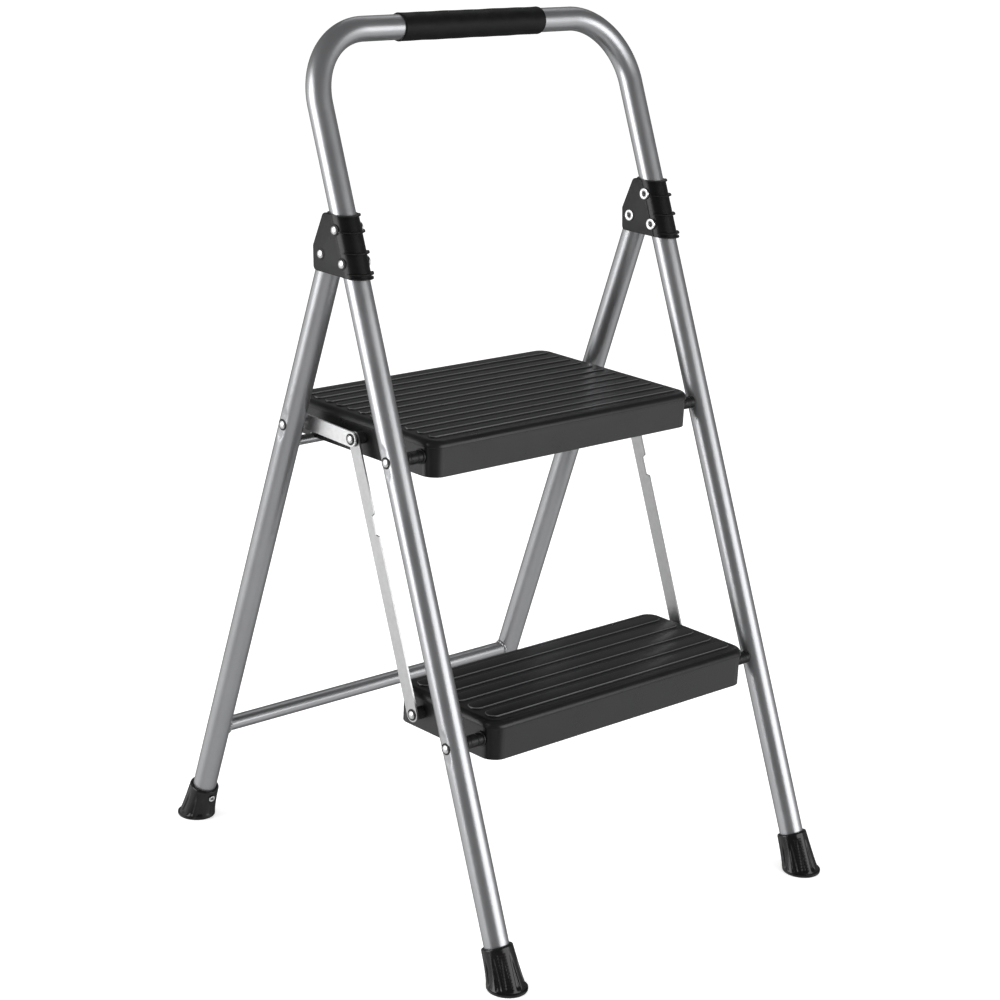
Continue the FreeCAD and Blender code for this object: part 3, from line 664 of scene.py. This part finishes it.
def boot(place, up, side):
    """A rubber boot: wedge flutes down a flared sleeve, a rolled collar and a flat sole."""
    foot = place(0, side)
    sole = Vector((foot.x, foot.y + math.copysign(SOLE_SHIFT, foot.y), 0))
    top = place(BOOT_TOP, side)
    across = Vector((1, 0, 0))
    deep = up.cross(across).normalized()
    if deep.y < 0:
        deep = -deep
    count = FLUTES * PER_FLUTE
    rings = []

    def layer(u, shrink, flute, ribbed):
        centre = sole.lerp(top, u)
        lean = smooth(u * 1.15)
        b = Vector((0, 1, 0)).lerp(deep, lean).normalized()
        made = []
        for i in range(count):
            turn = 2 * math.pi * i / count
            phase = ((turn - STRIP_TURN) / (2 * math.pi) * FLUTES + 0.5) % 1.0
            wide = 0.10 + 0.26 * (1 - u)
            groove = smooth((wide - abs(phase - 0.5)) / 0.11)
            fade = smooth((u - 0.10) / 0.10) * smooth((0.86 - u) / 0.35)
            radius = boot_radius(u) - shrink
            radius -= flute * groove * fade * 1.15 * MM
            strip = smooth((math.cos(turn - STRIP_TURN) - 0.962) / 0.012)
            if ribbed and 0.14 < u < 0.86:
                rib = 0.5 + 0.5 * math.sin(u * 2 * math.pi * STRIP_RIBS)
                radius += strip * 0.55 * MM * smooth(rib * 1.4 - 0.2)
            made.append(centre + (across * math.cos(turn) + b * math.sin(turn)) * radius)
        return made

    ribbed = place is on_front
    for shrink, z in ((7.0 * MM, 1.2 * MM), (5.5 * MM, 1.2 * MM), (5.0 * MM, 0.0),
                      (1.6 * MM, 0.0), (0.6 * MM, 0.35 * MM), (0.12 * MM, 1.1 * MM),
                      (0.0, 2.2 * MM), (0.0, 3.2 * MM)):
        rings.append(ring(Vector((sole.x, sole.y, z)), across, Vector((0, 1, 0)),
                          SOLE_R - shrink, count))
    start, end = WALL
    rings += [layer(start + (end - start) * i / WALL_RINGS, 0.0, 1.0, ribbed)
              for i in range(WALL_RINGS + 1)]
    for shrink, u in ((0.12, 0.982), (0.45, 0.994), (0.95, 1.0), (1.7, 1.0), (2.35, 0.994),
                      (2.75, 0.97), (2.9, 0.90)):
        rings.append(layer(u, shrink * MM, 0.0, False))
    return skin(rings, True, False)


def boot_rivet(place, side):
    """A tubular eyelet through boot and tube."""
    outer = place(EYELET_T, side, EYELET_OUT)
    axis = (outer - place(EYELET_T, side)).normalized()
    profile = ((1.6, -9.0), (2.0, -9.0), (2.0, -1.1), (3.3, -1.1), (3.7, -0.8), (3.7, -0.5),
               (3.4, -0.12), (2.9, 0.0), (2.3, -0.05), (1.85, -0.35), (1.6, -0.9), (1.6, -8.9))
    return lathe([(r * MM, h * MM) for r, h in profile], outer, axis, 40)


# ---------------------------------------------------------------- grip
def grip():
    """A foam sleeve: faint ring waves, soft right end, crisp left end."""
    low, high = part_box("hand_grip")
    centre = (low + high) / 2
    half = (high.x - low.x) / 2
    outer = (high.z - low.z) / 2
    inner = TUBE_R + 0.05 * MM
    a, b = Vector((0, 1, 0)), Vector((0, 0, 1))
    rings = []

    def layer(x, radius, soft=0.0):
        made = []
        for i in range(ROUND):
            turn = 2 * math.pi * i / ROUND
            ripple = 0.10 * math.sin(x * 190 + 2 * math.sin(turn)) + \
                0.08 * math.sin(x * 83 - turn * 2 + 1) - 0.18
            r = radius + soft * ripple * MM
            made.append(Vector((x, centre.y, centre.z)) +
                        (a * math.cos(turn) + b * math.sin(turn)) * r)
        return made

    rings.append(layer(-half + 0.3 * MM, inner))
    for d, drop in ((0.0, 1.35), (0.0, 0.9), (0.12, 0.42), (0.45, 0.12), (0.9, 0.0)):
        rings.append(layer(-half + d * MM, outer - drop * MM))
    rings += [layer(x, outer, 1.0) for x in ramp(-half + 2.5 * MM, half - 3.0 * MM, 2.2 * MM)]
    for d, drop in ((2.2, 0.06), (1.2, 0.28), (0.5, 0.62), (0.12, 1.05), (0.0, 1.4)):
        rings.append(layer(half - d * MM, outer - drop * MM))
    rings.append(layer(half - 0.3 * MM, inner))
    rings.append(rings[0])
    return skin(rings, False, False)


# ---------------------------------------------------------------- treads
CORNER_R = 17 * MM
EDGE_R = 7.0 * MM
TREAD_RIM = 7.6 * MM
TREAD_WALL = 1.3 * MM
RIB_MARGIN = 2.5 * MM
RIB_H = 1.4 * MM
LAND_INSET = EDGE_R + 0.6 * MM
RIBS = {"top": (12, 0.56), "lower": (5, 0.66)}     # how many, and the share of the pitch they fill


def outline(half, y0, y1, corner, steps=14):
    """A rectangle with round corners, as (x, y) pairs, counter-clockwise from the front left."""
    left, right = -half + corner, half - corner
    front, back = y0 + corner, y1 - corner
    made = []
    for x, y, start in ((left, front, math.pi), (right, front, 1.5 * math.pi),
                        (right, back, 0.0), (left, back, 0.5 * math.pi)):
        for i in range(steps + 1):
            turn = start + math.pi / 2 * i / steps
            made.append((x + corner * math.cos(turn), y + corner * math.sin(turn)))
    return made


def tread_shell(node):
    """The tread's rounded border and rim, down to its lower edge and back up inside."""
    low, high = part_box(node)
    z1 = high.z - RIB_H
    half = high.x
    rings = []

    def level(inset, z):
        corner = max(CORNER_R - inset, 0.5 * MM)
        rings.append([Vector((x, y, z)) for x, y in
                      outline(half - inset, low.y + inset, high.y - inset, corner)])

    level(TREAD_WALL, z1 - EDGE_R)
    level(TREAD_WALL, z1 - TREAD_RIM + 0.15 * MM)
    level(TREAD_WALL - 0.15 * MM, z1 - TREAD_RIM)
    level(0.35 * MM, z1 - TREAD_RIM)
    level(0.08 * MM, z1 - TREAD_RIM + 0.12 * MM)
    level(0.0, z1 - TREAD_RIM + 0.35 * MM)
    for i in range(13):
        turn = math.pi / 2 * i / 12
        level(EDGE_R * (1 - math.cos(turn)), z1 - EDGE_R * (1 - math.sin(turn)))
    level(LAND_INSET, z1)
    return skin(rings, False, False)


def rib_bar(y, width, reach, z0, z1):
    """One raised bar with round ends, a rounded crown and a small step round its foot."""
    rings = []
    side = width / 2
    for inset, z in ((-0.35 * MM, z0), (-0.05 * MM, z0 + 0.10 * MM), (0.10 * MM, z0 + 0.35 * MM),
                     (0.14 * MM, z1 - 0.55 * MM), (0.24 * MM, z1 - 0.26 * MM),
                     (0.48 * MM, z1 - 0.07 * MM), (0.85 * MM, z1)):
        corner = side - inset - 0.02 * MM
        rings.append([Vector((x, yy, z)) for x, yy in
                      outline(reach - inset, y - side + inset, y + side - inset, corner, 10)])
    return skin(rings, False, True)


def tread_ribs(node, count, share):
    """The flat land and its ribs."""
    low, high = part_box(node)
    z1 = high.z - RIB_H
    margin = EDGE_R + RIB_MARGIN
    pitch = (high.y - low.y - 2 * margin) / count
    reach = high.x - margin - RIB_H
    parts = []
    for i in range(count):
        y = low.y + margin + (i + 0.5) * pitch
        parts.append(rib_bar(y, pitch * share, reach, z1, high.z))
    land = [Vector((x, y, z1)) for x, y in
            outline(high.x - LAND_INSET, low.y + LAND_INSET, high.y - LAND_INSET,
                    CORNER_R - LAND_INSET)]
    parts.append((land, [tuple(range(len(land)))]))
    return joined(parts)


def rib_highlight(below):
    """How bright a rib's painted highlight is, at a depth below its crown."""
    return smooth((below - 0.03 * MM) / (0.04 * MM)) * smooth((0.62 * MM - below) / (0.3 * MM))


# ---------------------------------------------------------------- pieces
def build_pieces():
    piece("frame_tube", front_tube(), "front_frame", SILVER, ("front_frame",))
    for side, name in ((-1, "left"), (1, "right")):
        piece("rear_tube_" + name, rear_tube(side), "rear_frame", SILVER,
              ("rear_leg_" + name,))
        for end, place, up in (("front", on_front, UP_FRONT), ("rear", on_rear, UP_REAR)):
            node = "%s_boot_%s" % (end, name)
            piece(node + "_rubber", boot(place, up, side), end + "_frame", RUBBER,
                  (node,), 60)
    for node in WELD_BEAD:
        piece(node + "_tube", cross_member(node), "rear_frame", SILVER, (node,))
    beads = joined([weld(node, bead) for node, bead in WELD_BEAD.items()])
    piece("weld_beads", beads, "rear_frame", SILVER, ("crossbar_welds",), 180)
    piece("foam_grip", grip(), "front_frame", GRIP, ("hand_grip",))
    rivet_pair("fixing_rivets", "bracket_rivets", [on_front(t) for t in FIX_RIVET_T],
               "front_frame")
    rivet_pair("hinge_rivets", "hinge_pins", [HINGE], "front_frame")
    rivet_pair("top_pivot_rivets", "top_step_rivets", [TOP_PIVOT], "front_frame")
    rivet_pair("lower_pivot_rivets", "lower_step_rivets", [LOW_PIVOT], "front_frame")
    rivet_pair("upper_pin_rivets", "upper_link_pins", [UPPER_PIN], "top_step")
    rivet_pair("lower_pin_rivets", "lower_link_pins", [LOWER_PIN], "lower_step")
    x_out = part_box("stay_rivets")[0].x + HEAD_H
    heads = rivet(STAY_PIVOT, x_out, -REAR_HALF + TUBE_R)
    made = piece("stay_rivet_heads", both(heads), "rear_frame", RIVET, ("stay_rivets",),
                 50)
    paint_rim_shade(made, [STAY_PIVOT], x_out)
    for end, place in (("front", on_front), ("rear", on_rear)):
        eyelets = joined([boot_rivet(place, side) for side in (-1, 1)])
        piece("boot_eyelets_" + end, eyelets, end + "_frame", RIVET, ("boot_rivets_" + end,),
              50)
    for level, spot in (("top", TOP_PIVOT), ("lower", LOW_PIVOT)):
        node = level + "_step_sleeves"
        t = (spot - LOW_PIVOT).length + LOW_PIVOT_T
        start = on_front(t).x + TUBE_R - SLEEVE_SUNK
        piece(level + "_flanged_sleeves", both(sleeve(spot, start, inner_end(node))),
              "front_frame", SPACER, (node,))
    for level, (count, share) in RIBS.items():
        node = level + "_step_tread"
        part = joined([tread_shell(node), tread_ribs(node, count, share)])
        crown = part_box(node)[1].z
        # The tread's ribs get a painted highlight along their upper edges.
        piece(level + "_ribbed_tread", part, level + "_step", TREAD, (node,), 30,
              lambda p: rib_highlight(crown - p.z))


build_pieces()


# ---------------------------------------------------------------- stage
FLOOR_SIZE = 60.0
LIGHT_AIM = Vector((0, 0, 0.45))
ROOM_LIGHT = 0.62               # the white room, as it lights the stool
ROOM_REFLECTED = 0.17           # the same room, as reflections show it between its glows
# Each glow: right, ahead, up, where it starts, where it is full, its strength.
GLOWS = (
    (0.0, -0.44, -0.90, 0.66, 0.92, 0.62),
    (-0.95, 0.05, -0.30, 0.60, 0.98, 0.95),
    (0.95, -0.05, -0.30, 0.72, 0.98, 0.80),
)


def floor():
    """A pale floor that reflections don't show."""
    half = FLOOR_SIZE / 2
    mesh = bpy.data.meshes.new("floor")
    mesh.from_pydata([(-half, -half, 0), (half, -half, 0), (half, half, 0), (-half, half, 0)],
                     [], [(0, 1, 2, 3)])
    plane = bpy.data.objects.new("floor", mesh)
    scene.collection.objects.link(plane)
    r = Recipe("pale_floor")
    r.colour(r.mix(r.noise(0.6, 2), (0.93, 0.93, 0.93), (0.95, 0.95, 0.95)))
    r.set(Roughness=0.9, Emission_Color=(1, 1, 1, 1), Emission_Strength=0.5)
    mesh.materials.append(r.material)
    plane.visible_glossy = False


def area_light(name, azimuth, height, distance, width, tall, power):
    """A soft box. Azimuth 0 is on the camera's side of the object, positive to the right."""
    toward = CAMERA_YAW - math.radians(azimuth)
    spot = Vector((-math.sin(toward) * distance, -math.cos(toward) * distance, height))
    data = bpy.data.lights.new(name, "AREA")
    data.shape = "RECTANGLE"
    data.size, data.size_y, data.energy = width, tall, power
    lamp = bpy.data.objects.new(name, data)
    lamp.location = spot
    lamp.rotation_mode = "QUATERNION"
    lamp.rotation_quaternion = (LIGHT_AIM - spot).to_track_quat("-Z", "Y")
    scene.collection.objects.link(lamp)


def world():
    """White surroundings that show in reflections as a dim room with glowing patches.

    A glow is its direction (right, ahead, up as the camera stands), the cosines
    from that direction at which it starts and is full, and its strength.
    """
    made = bpy.data.worlds.new("studio")
    made.use_nodes = True
    scene.world = made
    tree = made.node_tree
    sy, cy = math.sin(CAMERA_YAW), math.cos(CAMERA_YAW)
    way = tree.nodes.new("ShaderNodeTexCoord").outputs["Generated"]
    room = None
    for right, ahead, up, start, full, strength in GLOWS:
        facing = tree.nodes.new("ShaderNodeVectorMath")
        facing.operation = "DOT_PRODUCT"
        facing.inputs[1].default_value = (right * cy + ahead * sy, ahead * cy - right * sy, up)
        tree.links.new(way, facing.inputs[0])
        patch = tree.nodes.new("ShaderNodeMapRange")
        patch.interpolation_type = "SMOOTHSTEP"
        patch.inputs["From Min"].default_value = start
        patch.inputs["From Max"].default_value = full
        patch.inputs["To Max"].default_value = strength
        tree.links.new(facing.outputs["Value"], patch.inputs["Value"])
        total = tree.nodes.new("ShaderNodeMath")
        total.inputs[0].default_value = ROOM_REFLECTED
        if room:
            tree.links.new(room, total.inputs[0])
        tree.links.new(patch.outputs["Result"], total.inputs[1])
        room = total.outputs[0]
    path = tree.nodes.new("ShaderNodeLightPath")
    level = tree.nodes.new("ShaderNodeMapRange")
    level.inputs["To Min"].default_value = ROOM_LIGHT
    tree.links.new(room, level.inputs["To Max"])
    tree.links.new(path.outputs["Is Glossy Ray"], level.inputs["Value"])
    seen = tree.nodes.new("ShaderNodeMapRange")
    tree.links.new(path.outputs["Is Camera Ray"], seen.inputs["Value"])
    tree.links.new(level.outputs["Result"], seen.inputs["To Min"])
    back = tree.nodes["Background"]
    tree.links.new(seen.outputs["Result"], back.inputs["Strength"])
    back.inputs["Color"].default_value = (1, 1, 1, 1)


def camera():
    """The main view, from the named position, angles and focal length."""
    sy, cy = math.sin(CAMERA_YAW), math.cos(CAMERA_YAW)
    sp, cp = math.sin(CAMERA_PITCH), math.cos(CAMERA_PITCH)
    ahead = Vector((sy * cp, cy * cp, -sp))
    right = Vector((cy, -sy, 0))
    up = right.cross(ahead)
    s, c = math.sin(CAMERA_ROLL), math.cos(CAMERA_ROLL)
    x, y = right * c + up * s, up * c - right * s
    data = bpy.data.cameras.new("camera")
    data.sensor_width = 36.0
    data.lens = CAMERA_LENS
    eye = bpy.data.objects.new("camera", data)
    turn = Matrix((x, y, -ahead)).transposed().to_4x4()
    eye.matrix_world = Matrix.Translation(CAMERA_AT) @ turn
    scene.collection.objects.link(eye)
    scene.camera = eye


camera()
floor()
world()
area_light("left_box", -66, 1.1, 3.2, 2.1, 3.0, 104)
area_light("right_box", 60, 0.85, 3.3, 3.1, 1.9, 70)
area_light("top_box", 170, 3.0, 2.4, 2.2, 0.8, 7)
scene.view_settings.view_transform = "Standard"
scene.view_settings.look = "None"
